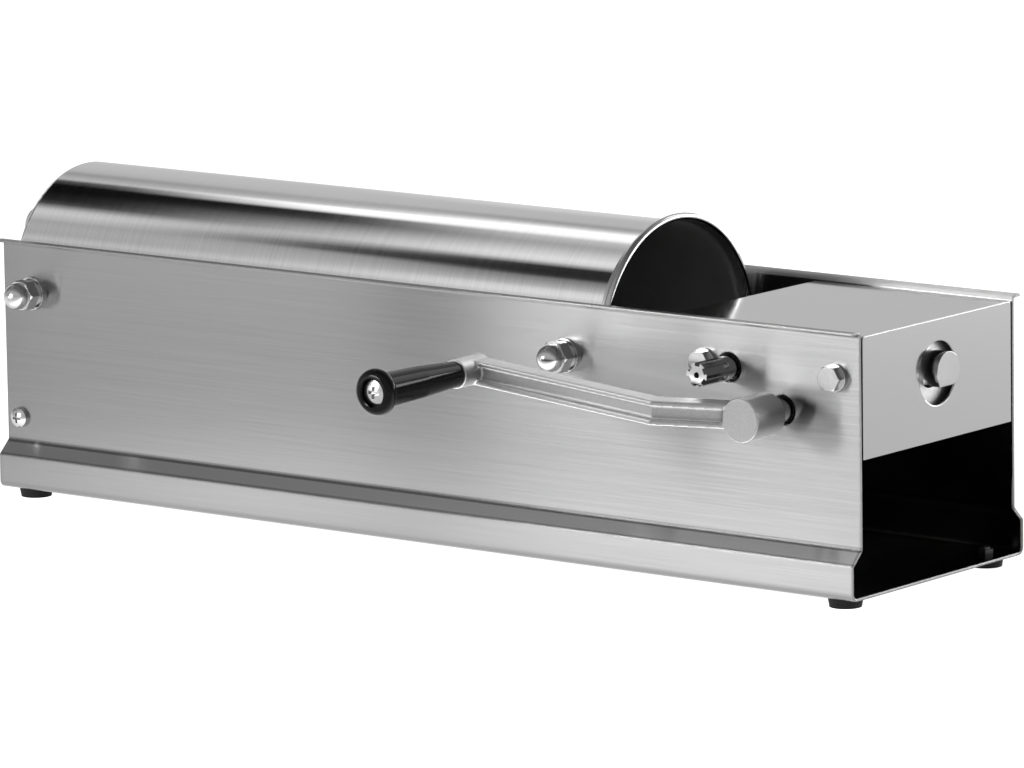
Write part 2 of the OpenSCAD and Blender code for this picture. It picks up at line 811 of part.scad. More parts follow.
// Rack and piston
module rack_cut() {
    root_half = rack_pitch / 4 + backlash / 2 - rack_dedendum_share * rack_module * tan(pressure_angle);
    tip_half = rack_pitch / 4 + backlash / 2 + rack_addendum_share * rack_module * tan(pressure_angle);
    first = ceil((rack_flat_x + rack_pitch - shaft_x) / rack_pitch);
    last = floor((rack_x1 - rack_pitch - shaft_x) / rack_pitch);
    tip_z = axis_z - rack_tip_drop;
    root_z = axis_z - rack_root_drop;
    low_z = axis_z - rack_r - overrun;
    polygon(concat(
        [[rack_x1 + overrun, low_z], [rack_flat_x, low_z], [rack_flat_x, tip_z]],
        [for (i = [first : last]) each let (x = shaft_x + i * rack_pitch)
            [[x - tip_half, tip_z], [x - root_half, root_z], [x + root_half, root_z], [x + tip_half, tip_z]]],
        [[rack_x1 - rack_bevel_x, tip_z], [rack_x1 + overrun,
            tip_z + rack_bevel_z * (rack_bevel_x + overrun) / rack_bevel_x]]));
}

module rack_bar() {
    color("silver")
    difference() {
        translate([0, 0, axis_z]) rod_x(piston_back_x, rack_x1, rack_r);
        along_y(rack_r + overrun, -rack_r - overrun) rack_cut();
    }
}

module at_piston_screws() {
    screw_n = 4;
    screw_circle_share = 0.7;
    for (i = [0 : screw_n - 1]) rotate([360 / screw_n * (i + 0.5), 0, 0])
        translate([0, 0, screw_circle_share * flange_d / 2]) children();
}

seal_w = 8;
seal_depth = 5;
seal_gap = 0.1;
screw_depth = 8;

module piston_plate() {
    plate_r = tube_r - piston_gap;
    color("white")
    translate([0, 0, axis_z]) difference() {
        rod_x(piston_x, piston_back_x, plate_r);
        difference() {
            rod_x(piston_x + (piston_t - seal_w) / 2, piston_x + (piston_t + seal_w) / 2, plate_r + overrun);
            rod_x(piston_x, piston_back_x, plate_r - seal_depth);
        }
        at_piston_screws() rod_x(piston_back_x - screw_depth, piston_back_x + overrun, m6_r + run_gap);
    }
}

module piston_seal() {
    seal_r = tube_r - seal_gap;
    lip_inset = 1.2;
    color("dimgray")
    translate([0, 0, axis_z]) rotate([0, 90, 0]) rotate_extrude()
        translate([0, piston_x + (piston_t - seal_w) / 2]) polygon([
            [tube_r - piston_gap - seal_depth, 0], [seal_r - lip_inset, 0], [seal_r, seal_w / 4],
            [seal_r - lip_inset, seal_w / 2], [seal_r, seal_w * 3 / 4], [seal_r - lip_inset, seal_w],
            [tube_r - piston_gap - seal_depth, seal_w]]);
}

module piston_flange() {
    weld_w = 4;
    color("silver")
    translate([0, 0, axis_z]) difference() {
        union() {
            rod_x(piston_back_x, flange_back_x, flange_d / 2);
            translate([flange_back_x, 0, 0]) rotate([0, 90, 0])
                cylinder(h = weld_w, r1 = rack_r + weld_w, r2 = rack_r + weld_w / 4);
        }
        rod_x(piston_back_x - overrun, flange_back_x + weld_w + overrun, rack_r + run_gap);
        at_piston_screws() rod_x(piston_back_x - overrun, flange_back_x + weld_w + overrun, m6_r + hole_gap);
    }
}

module piston_screws() {
    color("gainsboro")
    translate([0, 0, axis_z]) at_piston_screws() {
        rod_x(piston_back_x - screw_depth + overrun, flange_back_x + overrun / 2, m6_r);
        translate([flange_back_x, 0, 0]) rotate([0, 90, 0])
            cylinder(h = m6_head_h - overrun, d = m6_nut_af / cos(30), $fn = 6);
    }
}

// Shafts and gears
module fluted_end(root_y) {
    rotate([0, crank_rise, 0]) for (i = [0 : flute_n - 1]) rotate([0, 360 / flute_n * i, 0]) {
        translate([-flute_w / 2, -shaft_tip_y - overrun, shaft_r - flute_depth])
            cube([flute_w, shaft_tip_y - root_y + overrun, flute_depth + overrun]);
        translate([0, -root_y, shaft_r - flute_depth]) cylinder(h = flute_depth + overrun, d = flute_w);
    }
    rod_y(-shaft_tip_y + shaft_tip_hole_len, -shaft_tip_y - overrun, shaft_tip_hole_d / 2);
}

module key_slot(y0, y1) {
    translate([-key_w / 2, y1, shaft_r - key_sink]) cube([key_w, y0 - y1, key_h]);
}

module ring_groove(y) {
    difference() {
        rod_y(y + ring_t, y, shaft_r + overrun);
        rod_y(y + ring_t + overrun, y - overrun, shaft_r - ring_groove);
    }
}

ring_near_y = -cheek_in_y + bush_flange_t + seat_gap;
ring_plate_y = -plate_y1 + seat_gap;
gear_y0 = -gear_y;
gear_y1 = -gear_y - gear_w;

module pinion_shaft() {
    color("silver")
    translate([shaft_x, 0, lower_z]) difference() {
        union() {
            rod_y(shaft_far_y, -shaft_tip_y, shaft_r);
            along_y(pinion_w / 2, -pinion_w / 2)
                polygon(gear_outline(rack_module, pinion_teeth, 4, 90));
        }
        fluted_end(flute_end_y);
        key_slot(gear_y0, gear_y1);
        ring_groove(ring_near_y);
    }
}

module speed_shaft() {
    color("silver")
    translate([upper_x, 0, upper_z]) difference() {
        rod_y(ring_plate_y + ring_t + overrun, -shaft_tip_y, shaft_r);
        fluted_end(flute_end_y);
        key_slot(gear_y0, gear_y1);
        ring_groove(ring_near_y);
        ring_groove(ring_plate_y);
    }
}

module gear_bore() {
    rod_y(gear_y0 + gear_hub_len + overrun, gear_y1 - overrun, shaft_r + run_gap);
    translate([-key_w / 2, gear_y1 - overrun, 0])
        cube([key_w, gear_w + gear_hub_len + 2 * overrun, shaft_r - key_sink + key_h + run_gap]);
}

module large_gear() {
    web_rim = 5;
    web_r = gear_module * large_teeth / 2 - web_rim;
    hole_n = 5;
    hole_circle = (web_r + gear_hub_d / 2) / 2;
    web_cut = 3;
    color("darkgray")
    translate([shaft_x, 0, lower_z]) difference() {
        union() {
            along_y(gear_y0, gear_y1)
                polygon(gear_outline(gear_module, large_teeth, 3, 180 - shaft_slope));
            rod_y(gear_y0 + gear_hub_len, gear_y0 - overrun, gear_hub_d / 2);
        }
        gear_bore();
        difference() {
            rod_y(gear_y1 + web_cut, gear_y1 - overrun, web_r);
            rod_y(gear_y1 + web_cut + overrun, gear_y1 - 2 * overrun, gear_hub_d / 2);
        }
        for (i = [0 : hole_n - 1]) rotate([0, 360 / hole_n * i, 0]) translate([hole_circle, 0, 0])
            rod_y(gear_y0 + overrun, gear_y1 - overrun, (web_r - gear_hub_d / 2) / 3);
    }
}

module large_gear_key() {
    color("dimgray") translate([shaft_x, 0, lower_z]) key_slot(gear_y0 - run_gap, gear_y1 + run_gap);
}

module small_gear() {
    color("darkgray")
    translate([upper_x, 0, upper_z]) difference() {
        union() {
            along_y(gear_y0, gear_y1)
                polygon(gear_outline(gear_module, small_teeth, 3, -shaft_slope + 180 / small_teeth));
            rod_y(gear_y0 + gear_hub_len, gear_y0 - overrun, gear_root(gear_module, small_teeth));
        }
        gear_bore();
    }
}

module small_gear_key() {
    color("dimgray") translate([upper_x, 0, upper_z]) key_slot(gear_y0 - run_gap, gear_y1 + run_gap);
}

module retaining_ring(y) {
    ring_gap_w = 5;
    difference() {
        rod_y(y + ring_t - run_gap, y + run_gap, ring_d / 2);
        rod_y(y + ring_t + overrun, y - overrun, shaft_r - ring_groove + run_gap);
        translate([-ring_gap_w / 2, y - overrun, -ring_d]) cube([ring_gap_w, ring_t + 2 * overrun, ring_d]);
    }
}

module lower_shaft_ring() {
    color("dimgray") translate([shaft_x, 0, lower_z]) retaining_ring(ring_near_y);
}

module speed_shaft_rings() {
    color("dimgray") translate([upper_x, 0, upper_z]) {
        retaining_ring(ring_near_y);
        retaining_ring(ring_plate_y);
    }
}

// Crank: drawn with its arm along -X, turned up by crank_rise about the shaft
arm_in_r = 5;
arm_dir = [cos(arm_slope), sin(arm_slope)];
arm_kink = [arm_kink_r, arm_y];
arm_start = arm_kink - arm_dir * (arm_kink_r - arm_in_r) / cos(arm_slope);
arm_normal = [-sin(arm_slope), cos(arm_slope)];

// Point of the arm's outline, off its centre line, at the start, kink or end
function arm_point(i, off) =
    i == 0 ? arm_start + off * arm_normal :
    i == 1 ? arm_kink + off * (arm_normal + [0, 1]) / (1 + cos(arm_slope)) :
    [crank_r, arm_y + off];

module arm_strip(low, high, h) {
    translate([0, 0, -h / 2]) linear_extrude(h) scale([-1, -1])
        polygon([arm_point(0, low), arm_point(1, low), arm_point(2, low),
            arm_point(2, high), arm_point(1, high), arm_point(0, high)]);
}

module at_crank() {
    translate([shaft_x, 0, lower_z]) rotate([0, crank_rise, 0]) children();
}

module crank_arm() {
    pocket_h = arm_h - 2 * arm_flange_t;
    color("silver")
    at_crank() difference() {
        union() {
            difference() {
                arm_strip(-arm_w / 2, arm_w / 2, arm_h);
                arm_strip(arm_w / 2 - arm_pocket, arm_w, pocket_h);
                arm_strip(-arm_w, -arm_w / 2 + arm_pocket, pocket_h);
            }
            rod_y(-hub_y, -hub_face_y, hub_d / 2);
            translate([-crank_r, 0, 0]) rod_y(-boss_y0, -boss_y1, grip_boss_d / 2);
        }
        along_y(-hub_y + overrun, -hub_y - hub_bore_len) difference() {
            circle(shaft_r + hub_bore_gap);
            for (i = [0 : flute_n - 1]) rotate(360 / flute_n * i)
                translate([-flute_w / 2 + hub_rib_gap, shaft_r - flute_depth + hub_rib_gap])
                    square([flute_w - 2 * hub_rib_gap, flute_depth + overrun]);
        }
        translate([-crank_r, 0, 0]) rod_y(-boss_y0 + overrun, -boss_y1 - overrun, m8_r + run_gap);
    }
}

module grip_screw() {
    head_y = grip_y1 - grip_recess_len + seat_gap;
    color("gainsboro")
    at_crank() translate([-crank_r, 0, 0]) difference() {
        union() {
            rod_y(-boss_y0, -head_y - overrun, m8_r);
            round_head(-head_y, grip_screw_head_d, grip_screw_head_h);
        }
        translate([0, -head_y - grip_screw_head_h, 0]) mirror([0, 1, 0])
            cross_recess(grip_screw_head_d / 2, grip_screw_head_h * 2 / 3);
    }
}

module grip() {
    body_len = grip_len - grip_flange_len;
    edge_r = 1;
    flange_r = grip_flange_len / 2;
    color("#181818")
    at_crank() translate([-crank_r, -grip_y0, 0]) rotate([90, 0, 0]) difference() {
        rotate_extrude() {
            polygon([[0, 0], [grip_d_in / 2 - edge_r, 0], [grip_d_in / 2, edge_r],
                [grip_d_in / 2 + (grip_d_out - grip_d_in) / 4 + edge_r / 2, body_len / 2],
                [grip_d_out / 2, body_len], [grip_d_out / 2, grip_len - flange_r], [0, grip_len - flange_r]]);
            translate([grip_flange_d / 2 - flange_r, grip_len - flange_r]) circle(flange_r);
            translate([0, grip_len - grip_flange_len]) square([grip_flange_d / 2 - flange_r, grip_flange_len]);
        }
        translate([0, 0, -overrun]) cylinder(h = grip_len + 2 * overrun, r = m8_r + 2 * run_gap);
        translate([0, 0, grip_len - grip_recess_len]) cylinder(h = grip_recess_len + overrun, d = grip_recess_d);
    }
}

frame_channel();
front_tie_bar();
tie_bar_screws();
tie_bar_nuts();
rubber_feet();
foot_screws();
foot_nuts();
cylinder_body();  // cylinder
trunnion_studs();
saddle_strap();
strap_studs();
dome_nuts();
flat_washers();
spring_washers();
outlet_gasket();
outlet_nut();
gearbox_cover();
cover_spacers();
gearbox_bolts();
gearbox_washers();
near_cheek();
far_cheek();
front_guide_bar();
rear_guide_bar();
bearing_plate();
cheek_screws();
shaft_bushes();
rack_bar();
piston_plate();
piston_seal();
piston_flange();
piston_screws();
pinion_shaft();
large_gear();
large_gear_key();
lower_shaft_ring();
speed_shaft();
small_gear();
small_gear_key();
speed_shaft_rings();
crank_arm();
grip_screw();
grip();
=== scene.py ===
import math

import bpy
from mathutils import Matrix, Vector


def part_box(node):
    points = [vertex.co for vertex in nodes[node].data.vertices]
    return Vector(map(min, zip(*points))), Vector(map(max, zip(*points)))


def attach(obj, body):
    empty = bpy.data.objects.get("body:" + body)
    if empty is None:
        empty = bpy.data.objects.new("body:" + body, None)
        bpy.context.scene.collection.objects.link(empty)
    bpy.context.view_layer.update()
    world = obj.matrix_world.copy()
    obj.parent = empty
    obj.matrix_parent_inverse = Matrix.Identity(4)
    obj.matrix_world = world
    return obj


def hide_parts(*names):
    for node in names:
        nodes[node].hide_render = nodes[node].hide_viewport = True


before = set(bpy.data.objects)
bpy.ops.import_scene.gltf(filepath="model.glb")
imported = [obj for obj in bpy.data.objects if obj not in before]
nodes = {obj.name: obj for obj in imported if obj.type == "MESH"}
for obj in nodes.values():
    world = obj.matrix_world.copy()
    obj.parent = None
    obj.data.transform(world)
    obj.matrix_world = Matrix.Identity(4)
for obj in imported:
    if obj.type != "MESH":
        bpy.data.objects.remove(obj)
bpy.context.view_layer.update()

# ---------------------------------------------------------------- camera
# Solved from the photograph, in metres and radians, with the lens in millimetres
CAMERA_AT = (2.7647, -3.5122, 0.8710)
CAMERA_YAW = 0.6647
CAMERA_PITCH = 0.1736
CAMERA_ROLL = -0.0157
CAMERA_LENS = 270.55
SENSOR = 36.0

back = Vector((math.sin(CAMERA_YAW) * math.cos(CAMERA_PITCH),
               -math.cos(CAMERA_YAW) * math.cos(CAMERA_PITCH), math.sin(CAMERA_PITCH)))
side = Vector((math.cos(CAMERA_YAW), math.sin(CAMERA_YAW), 0))
up = back.cross(side)
turn_c, turn_s = math.cos(CAMERA_ROLL), math.sin(CAMERA_ROLL)
cam_x = turn_c * side + turn_s * up
cam_y = -turn_s * side + turn_c * up
camera_data = bpy.data.cameras.new("photo_camera")
camera_data.lens = CAMERA_LENS
camera_data.sensor_width = SENSOR
camera_data.clip_end = 100
camera = bpy.data.objects.new("photo_camera", camera_data)
bpy.context.scene.collection.objects.link(camera)
camera.matrix_world = Matrix((
    (cam_x.x, cam_y.x, back.x, CAMERA_AT[0]),
    (cam_x.y, cam_y.y, back.y, CAMERA_AT[1]),
    (cam_x.z, cam_y.z, back.z, CAMERA_AT[2]),
    (0, 0, 0, 1)))
bpy.context.scene.camera = camera
bpy.context.scene.view_settings.view_transform = "Standard"
bpy.context.scene.view_settings.look = "None"


# ---------------------------------------------------------------- node helpers
class Graph:
    """A small helper round a material's or world's node tree."""

    def __init__(self, tree):
        self.tree = tree

    def add(self, kind, **values):
        node = self.tree.nodes.new(kind)
        for key, value in values.items():
            setattr(node, key, value)
        return node

    def link(self, a, b):
        self.tree.links.new(a, b)

    def split(self, vector):
        """The X, Y and Z of a vector."""
        node = self.add("ShaderNodeSeparateXYZ")
        self.link(vector, node.inputs[0])
        return node.outputs

    def noise(self, vector, scale, detail=3.0, rough=0.6):
        mapping = self.add("ShaderNodeMapping")
        mapping.inputs["Scale"].default_value = scale
        self.link(vector, mapping.inputs["Vector"])
        noise = self.add("ShaderNodeTexNoise")
        noise.inputs["Scale"].default_value = 1.0
        noise.inputs["Detail"].default_value = detail
        noise.inputs["Roughness"].default_value = rough
        self.link(mapping.outputs["Vector"], noise.inputs["Vector"])
        return noise.outputs["Fac"]

    def spread(self, fac, low, high, source=(0.3, 0.7)):
        """Map the source range of fac to low...high; beyond its ends the result stays."""
        node = self.add("ShaderNodeMapRange")
        node.inputs["From Min"].default_value = source[0]
        node.inputs["From Max"].default_value = source[1]
        node.inputs["To Min"].default_value = low
        node.inputs["To Max"].default_value = high
        self.link(fac, node.inputs["Value"])
        return node.outputs["Result"]

    def math(self, kind, a, b=0.0):
        node = self.add("ShaderNodeMath", operation=kind)
        for socket, value in zip(node.inputs, (a, b)):
            if isinstance(value, (int, float)):
                socket.default_value = value
            else:
                self.link(value, socket)
        return node.outputs[0]

    def mix(self, fac, low, high):
        """Blend two colours, each of them a tuple or a socket."""
        node = self.add("ShaderNodeMix", data_type="RGBA")
        self.link(fac, node.inputs[0])
        for socket, colour in ((node.inputs[6], low), (node.inputs[7], high)):
            if isinstance(colour, tuple):
                socket.default_value = (*colour, 1)
            else:
                self.link(colour, socket)
        return node.outputs[2]

    def bump(self, height, strength, distance, normal=None):
        node = self.add("ShaderNodeBump")
        node.inputs["Strength"].default_value = strength
        node.inputs["Distance"].default_value = distance
        self.link(height, node.inputs["Height"])
        if normal is not None:
            self.link(normal, node.inputs["Normal"])
        return node.outputs["Normal"]


def grey(value):
    return (value, value, value)


def principled(material):
    return material.node_tree.nodes["Principled BSDF"]


def tint(g, shader, mask, tone):
    """Turn the base colour to a grey tone where the mask is 1."""
    base = shader.inputs["Base Color"]
    g.link(g.mix(mask, base.links[0].from_socket, grey(tone)), base)


def roughen(g, shader, mask, more):
    """Add to the roughness where the mask is 1."""
    rough = shader.inputs["Roughness"]
    g.link(g.math("ADD", rough.links[0].from_socket, g.math("MULTIPLY", mask, more)), rough)


# ---------------------------------------------------------------- materials
GRAIN_SHARE = 0.6               # of the roughness pattern; the clouds have the rest
CLOUD_SHARE = 0.4
CLOUD_SCALE = 6.0
SPECK_ROUGH = (0.85, 1.15)      # range of a plastic's roughness, times its own
SPECK_DEPTH = 0.0002

# The cylinder, measured in metres on the CAD
CYLINDER_TONE = 0.62
AXIS_Z = 0.126
BORE_R = 0.068
BORE_MARGIN = 0.0004
RIM_LENGTH = 0.006              # the rolled bead and the end of the flare
END_LENGTH = 0.0195             # the neck and three quarters of the end wall's thickness
BORE_TONE, BORE_DULL = 0.55, 0.42
# Painted shade: the rolled rim is tinted darker than the barrel.
RIM_PAINTED_SHADE_TONE = 0.33
END_TONE = 0.20

# The frame's sheet
LIP_Z = 0.1545                  # where the bends of the lips start
LIP_MARGIN = 0.0008
FAR_SIDE_Y = 0.05               # at that height only the far lip lies beyond this
JOGGLE_Z = (0.0276, 0.0347)     # the slope, from just above its lower bend to its upper bend
JOGGLE_PAINTED_LIGHT_SHARE = 0.45             # of the way to the far lip's painted light tone: painted light on the slope
# Painted light: the far lip is tinted lighter than the sheet; it is also duller.
LIP_PAINTED_LIGHT_TONE, LIP_DULL = 0.42, 0.30
PAINTED_CREASE_SHADE_HALF = 0.0014            # half the height of the painted shade line along the upper bend
PAINTED_CREASE_SHADE_TONE = 0.12
BEND_R, EDGE_R = 0.0020, 0.0009
BEND_TOP_Z = (0.045, 0.055)     # from wide bends below to plain edges above

# The castings
GROUND_AND_LIT_TONE = 0.65
GROUND_AND_LIT_FACING = (0.25, 0.85)    # how far a face looks up or down, from rough to fully ground and brightened by painted light


def new_material(name):
    material = bpy.data.materials.new(name)
    material.use_nodes = True
    graph = Graph(material.node_tree)
    place = graph.add("ShaderNodeTexCoord").outputs["Object"]
    return material, graph, principled(material), place


def reopen(material):
    """The graph, the shader and the texture coordinates, to build on a finished material."""
    graph = Graph(material.node_tree)
    return graph, principled(material), graph.add("ShaderNodeTexCoord").outputs


def metal(name, tone, rough, grain, line=0.08, bump=0.05, depth=0.0002, aniso=0.0,
          edge=0.0004, rough_line=0.06):
    """Steel with a directional grain, soft clouding and softened edges.

    grain is the noise's scale along X, Y and Z, line and rough_line are how far the tone and
    the roughness vary, and edge is the radius of the edges.
    """
    material, g, shader, place = new_material(name)
    lines = g.noise(place, grain, detail=4.0, rough=0.7)
    clouds = g.noise(place, (CLOUD_SCALE,) * 3)
    both = g.math("ADD", g.math("MULTIPLY", lines, GRAIN_SHARE),
                  g.math("MULTIPLY", clouds, CLOUD_SHARE))
    g.link(g.mix(g.spread(lines, 0, 1), grey(tone * (1 - line)), grey(tone * (1 + line))),
           shader.inputs["Base Color"])
    g.link(g.spread(both, rough - rough_line, rough + rough_line), shader.inputs["Roughness"])
    shader.inputs["Metallic"].default_value = 1.0
    normal = None
    if edge:
        bevel = g.add("ShaderNodeBevel", samples=4)
        bevel.inputs["Radius"].default_value = edge
        normal = bevel.outputs["Normal"]
    g.link(g.bump(lines, bump, depth, normal), shader.inputs["Normal"])
    if aniso:
        shader.inputs["Anisotropic"].default_value = aniso
        tangent = g.add("ShaderNodeTangent", direction_type="RADIAL", axis="X")
        g.link(tangent.outputs["Tangent"], shader.inputs["Tangent"])
    return material


def plastic(name, low, high, rough, scale, bump=0.02):
    """A finely speckled surface between two colours."""
    material, g, shader, place = new_material(name)
    speck = g.noise(place, (scale,) * 3, detail=4.0)
    g.link(g.mix(g.spread(speck, 0, 1), low, high), shader.inputs["Base Color"])
    g.link(g.spread(speck, rough * SPECK_ROUGH[0], rough * SPECK_ROUGH[1]),
           shader.inputs["Roughness"])
    g.link(g.bump(speck, bump, SPECK_DEPTH), shader.inputs["Normal"])
    return material


def cylinder_metal():
    """Turned finely outside and dull in the bore, with painted shade on the rolled rim and a
    darker tone on the end.
    """
    material = metal("cylinder_steel", CYLINDER_TONE, 0.055, (1300, 10, 10), line=0.07,
                     bump=0.012, rough_line=0.018)
    g, shader, coordinates = reopen(material)
    x, y, z = g.split(coordinates["Object"])
    rise = g.math("SUBTRACT", z, AXIS_Z)
    radius = g.math("SQRT", g.math("ADD", g.math("MULTIPLY", rise, rise),
                                   g.math("MULTIPLY", y, y)))
    inside = g.math("LESS_THAN", radius, BORE_R + BORE_MARGIN)
    rim = g.math("GREATER_THAN", x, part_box("cylinder")[1][0] - RIM_LENGTH)
    end = g.math("LESS_THAN", x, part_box("cylinder")[0][0] + END_LENGTH)
    roughen(g, shader, inside, BORE_DULL)
    tint(g, shader, inside, BORE_TONE)
    # Painted shade on the rolled rim, outside the bore.
    tint(g, shader, g.math("MULTIPLY", rim, g.math("SUBTRACT", 1.0, inside)), RIM_PAINTED_SHADE_TONE)
    tint(g, shader, g.math("MULTIPLY", end, inside), END_TONE)
    return material


def frame_metal():
    """Brushed along the length, with wide bends at the base, a dull far lip, painted light on the
    far lip and the slope, and a painted shade line along the slope's upper bend.
    """
    material = metal("frame_sheet", 0.18, 0.20, (10, 1100, 1300), aniso=1.0, line=0.06,
                     edge=EDGE_R, bump=0.03, rough_line=0.02)
    g, shader, coordinates = reopen(material)
    _, y, z = g.split(coordinates["Object"])
    lip = g.math("MULTIPLY", g.math("GREATER_THAN", z, LIP_Z + LIP_MARGIN),
                 g.math("GREATER_THAN", y, FAR_SIDE_Y))
    # Painted light on the slope, masked by height.
    joggle_lit = g.math("MULTIPLY", g.math("GREATER_THAN", z, JOGGLE_Z[0]),
                    g.math("LESS_THAN", z, JOGGLE_Z[1]))
    crease_shade = g.math("LESS_THAN", g.math("ABSOLUTE", g.math("SUBTRACT", z, JOGGLE_Z[1])),
                    PAINTED_CREASE_SHADE_HALF)
    # Painted light on the far lip and on the slope.
    tint(g, shader, g.math("MAXIMUM", lip, g.math("MULTIPLY", joggle_lit, JOGGLE_PAINTED_LIGHT_SHARE)), LIP_PAINTED_LIGHT_TONE)
    # Painted shade along the slope's upper bend.
    tint(g, shader, crease_shade, PAINTED_CREASE_SHADE_TONE)
    roughen(g, shader, lip, LIP_DULL)
    bevel = next(node for node in material.node_tree.nodes
                 if node.bl_idname == "ShaderNodeBevel")
    g.link(g.spread(z, BEND_R, EDGE_R, BEND_TOP_Z), bevel.inputs["Radius"])
    return material


def cast_metal():
    """A rough casting, brighter where it faces up or down: ground flanges, and painted light."""
    material = metal("cast_metal", 0.215, 0.42, (900, 900, 900), line=0.10, bump=0.30,
                     depth=0.0003, edge=0)
    g, shader, coordinates = reopen(material)
    facing = g.math("ABSOLUTE", g.split(coordinates["Normal"])["Z"])
    # Faces looking up or down get a brighter tone: ground flanges, and painted light.
    tint(g, shader, g.spread(facing, 0, 1, GROUND_AND_LIT_FACING), GROUND_AND_LIT_TONE)
    return material


M = {
    "frame_sheet": frame_metal(),
    "cover_sheet": metal("cover_sheet", 0.33, 0.11, (16, 900, 700), line=0.03, edge=0.0010,
                         bump=0.03),
    "cylinder_steel": cylinder_metal(),
    "bright_fasteners": metal("bright_fasteners", 0.40, 0.20, (300, 300, 300), line=0.05,
                              bump=0.03),
    "polished_steel": metal("polished_steel", 0.36, 0.14, (500, 40, 40), line=0.04, bump=0.02),
    "gearbox_steel": metal("gearbox_steel", 0.45, 0.38, (60, 700, 500), line=0.10),
    "gear_steel": metal("gear_steel", 0.42, 0.34, (500, 120, 500), line=0.10, edge=0.0003),
    "cast_metal": cast_metal(),
    "dark_zinc": metal("dark_zinc", 0.10, 0.40, (300, 300, 300), line=0.10, edge=0.0003),
    # The shaft bushes are coloured near black.
    "bronze": plastic("bronze", (0.030, 0.028, 0.025), (0.045, 0.042, 0.038), 0.4, 300),
    "black_grip": plastic("black_grip", grey(0.002), grey(0.004), 0.14, 260),
    "black_rubber": plastic("black_rubber", grey(0.003), grey(0.008), 0.7, 700, bump=0.15),
    "white_plastic": plastic("white_plastic", (0.70, 0.70, 0.68), (0.80, 0.80, 0.78), 0.35, 300),
    "white_silicone": plastic("white_silicone", (0.72, 0.72, 0.70), (0.82, 0.82, 0.80), 0.45, 300),
}
for finish, socket, value in (("bronze", "Metallic", 1.0),
                              ("black_grip", "Specular IOR Level", 0.1),
                              ("black_rubber", "Specular IOR Level", 0.15)):
    principled(M[finish]).inputs[socket].default_value = value

SLOT_OF = {
    "frame_sheet": ["frame_channel", "front_tie_bar"],
    "cover_sheet": ["gearbox_cover"],
    "cylinder_steel": ["cylinder"],
    "bright_fasteners": [
        "tie_bar_screws", "tie_bar_nuts", "dome_nuts", "flat_washers",
        "spring_washers", "gearbox_bolts", "gearbox_washers", "cover_spacers", "cheek_screws",
        "piston_screws", "trunnion_studs", "strap_studs", "grip_screw", "lower_shaft_ring",
        "speed_shaft_rings"],
    "polished_steel": ["rack_bar", "piston_flange", "pinion_shaft", "speed_shaft"],
    "gearbox_steel": ["near_cheek", "far_cheek", "front_guide_bar", "rear_guide_bar",
                      "bearing_plate", "saddle_strap"],
    "gear_steel": ["large_gear", "small_gear", "large_gear_key", "small_gear_key"],
    "cast_metal": ["crank_arm", "outlet_nut"],
    "dark_zinc": ["foot_screws", "foot_nuts"],
    "bronze": ["shaft_bushes"],
    "black_grip": ["grip"],
    "black_rubber": ["rubber_feet"],
    "white_plastic": ["piston_plate"],
    "white_silicone": ["piston_seal", "outlet_gasket"],
}
for finish, names in SLOT_OF.items():
    for name in names:
        for slot in nodes[name].material_slots:
            slot.material = M[finish]


# ---------------------------------------------------------------- crank casting
def softened(name, node, voxel, rounds):
    """A copy of a CAD node with its edges worn round, in the same place."""
    source = nodes[node]
    piece = bpy.data.objects.new(name, source.data.copy())
    bpy.context.scene.collection.objects.link(piece)
    piece.matrix_world = source.matrix_world
    remesh = piece.modifiers.new("remesh", "REMESH")
    remesh.mode = "VOXEL"
    remesh.voxel_size = voxel
    smooth = piece.modifiers.new("smooth", "SMOOTH")
    smooth.factor = 0.5
    smooth.iterations = rounds
    bpy.context.view_layer.update()
    ready = piece.evaluated_get(bpy.context.evaluated_depsgraph_get())
    mesh = bpy.data.meshes.new_from_object(ready)
    piece.modifiers.clear()
    piece.data = mesh
    mesh.shade_smooth()
    return piece


casting = softened("crank_casting", "crank_arm", voxel=0.0006, rounds=3)
casting.data.materials.clear()
casting.data.materials.append(M["cast_metal"])
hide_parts("crank_arm")
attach(casting, "crank")

# ---------------------------------------------------------------- floor
FLOOR_SIZE = 60.0               # half its side
FLOOR_LIGHT = 1.0
GLOW_LIGHT = 3.20               # what the strip in front of the object adds
GLOW_FRONT_Y = (-0.34, -0.14)   # the strip fades in over this stretch, towards the object
GLOW_BACK_Y = (-0.17, -0.06)    # and out again over this one
GLOW_X = (-0.45, -0.20)         # and is weaker on the photograph's left
GLOW_LEFT = 0.25

floor_mesh = bpy.data.meshes.new("floor")
floor_mesh.from_pydata([(-FLOOR_SIZE, -FLOOR_SIZE, 0), (FLOOR_SIZE, -FLOOR_SIZE, 0),
                        (FLOOR_SIZE, FLOOR_SIZE, 0), (-FLOOR_SIZE, FLOOR_SIZE, 0)],
                       [], [(0, 1, 2, 3)])
floor = bpy.data.objects.new("floor", floor_mesh)
bpy.context.scene.collection.objects.link(floor)
floor_material, g, shader, place = new_material("pale_floor")
g.link(g.mix(g.noise(place, (2, 2, 2)), grey(0.18), grey(0.22)), shader.inputs["Base Color"])
shader.inputs["Roughness"].default_value = 1.0
shader.inputs["Specular IOR Level"].default_value = 0.0
shader.inputs["Emission Color"].default_value = (1, 1, 1, 1)
floor_x, floor_y, _ = g.split(place)
glow = g.math("MULTIPLY", g.spread(floor_y, 0, 1, GLOW_FRONT_Y),
              g.spread(floor_y, 1, 0, GLOW_BACK_Y))
glow = g.math("MULTIPLY", glow, g.spread(floor_x, GLOW_LEFT, 1, GLOW_X))
g.link(g.math("ADD", g.math("MULTIPLY", glow, GLOW_LIGHT), FLOOR_LIGHT),
       shader.inputs["Emission Strength"])
floor_mesh.materials.append(floor_material)

# ---------------------------------------------------------------- studio
WORLD_STRENGTH = 2.0

